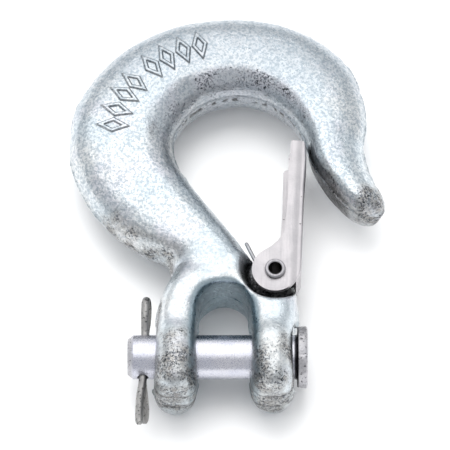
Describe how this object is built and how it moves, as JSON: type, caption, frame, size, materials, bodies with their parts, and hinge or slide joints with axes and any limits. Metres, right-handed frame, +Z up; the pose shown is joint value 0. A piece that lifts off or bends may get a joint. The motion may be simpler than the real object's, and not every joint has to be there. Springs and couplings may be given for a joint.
{
  "type": "clevis slip hook",
  "caption": "Forged clevis slip hook with a spring-loaded latch across its throat and a headed clevis pin held by a split cotter pin.",
  "frame": {"origin": "centre of the whole hook's outline in plan, at the height of the backs of the two clevis ears, which it lies on", "axes": "+X from the cotter pin to the pin's head, along the clevis pin; +Y from the clevis to the crown of the bowl; +Z up out of the hook's plane"},
  "size_m": [0.091, 0.1277, 0.028],
  "materials": {
    "forging": "bright zinc plate over a rough forged surface",
    "pin_steel": "bright zinc plate over a turned surface",
    "cotter_wire": "drawn half-round wire, dull zinc",
    "latch_sheet": "zinc-plated pressed sheet, satin",
    "rivet_steel": "zinc-plated tube, rolled ends",
    "spring_wire": "round spring wire"
  },
  "bodies": {
    "hook": {"hook_body": "forging", "latch_pin": "rivet_steel", "latch_spring": "spring_wire"},
    "latch": {"latch": "latch_sheet"},
    "clevis_pin": {"clevis_pin": "pin_steel", "cotter_pin": "cotter_wire"}
  },
  "joints": [
    {"name": "latch_swing", "type": "hinge", "parent": "hook", "child": "latch", "pos_m": [0.0139, -0.0164, 0.014], "axis": [0, 0, 1], "range_deg": [0, 42], "stiffness_Nm_per_rad": 0.12, "springref_deg": -51.57, "deforming": ["latch_spring"]},
    {"name": "clevis_pin_spin", "type": "hinge", "parent": "hook", "child": "clevis_pin", "pos_m": [-0.0008, -0.041, 0.014], "axis": [1, 0, 0], "continuous": true}
  ]
}
